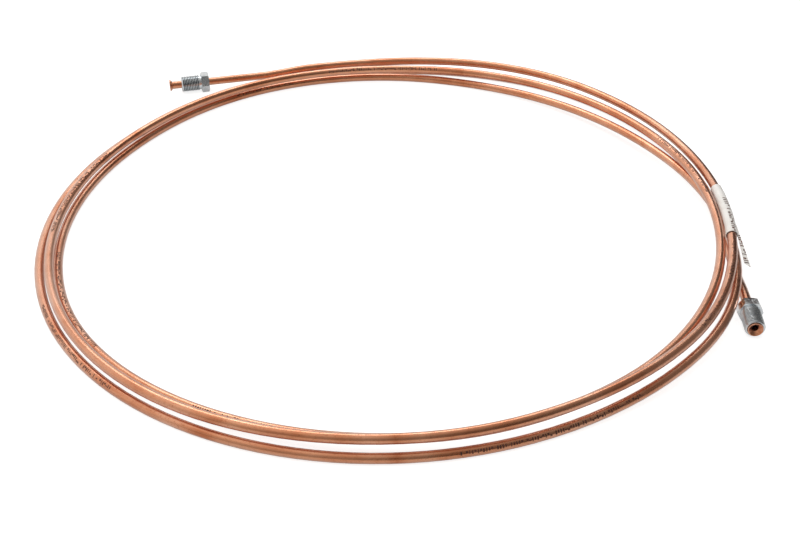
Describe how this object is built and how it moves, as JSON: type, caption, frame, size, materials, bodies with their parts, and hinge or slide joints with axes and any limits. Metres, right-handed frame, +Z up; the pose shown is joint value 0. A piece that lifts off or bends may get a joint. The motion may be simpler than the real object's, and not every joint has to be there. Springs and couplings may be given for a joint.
{
  "type": "coil of flared tube with tube nuts",
  "caption": "Loose coil of thin copper line tube lying flat, its ends belled, with a hexagon tube nut on each straight end and a small wrap-round label.",
  "frame": {"origin": "on the floor the coil lies on, under the middle of the box around the whole object", "axes": "+Z up; the coil lies flat in X and Y, with the free end at the right toward -Y and the free end at the back toward -X; +Y points away from the picture's camera"},
  "size_m": [0.3617, 0.3709, 0.0177],
  "materials": {
    "copper": "drawn bright copper with a light tarnish",
    "zinc_plated_steel": "zinc plated, satin",
    "label_film": "printed white film, matt"
  },
  "bodies": {
    "tube": {"copper_tube": "copper", "wrap_label": "label_film"},
    "right_nut": {"tube_nut_right": "zinc_plated_steel"},
    "back_nut": {"tube_nut_back": "zinc_plated_steel"}
  },
  "joints": [
    {"name": "right_nut_turn", "type": "hinge", "parent": "tube", "child": "right_nut", "pos_m": [0.17394, -0.09351, 0.0055], "axis": [-0.0476, -0.9989, 0], "continuous": true},
    {"name": "back_nut_turn", "type": "hinge", "parent": "tube", "child": "back_nut", "pos_m": [-0.12538, 0.15706, 0.0055], "axis": [-0.971, -0.239, 0], "continuous": true}
  ]
}
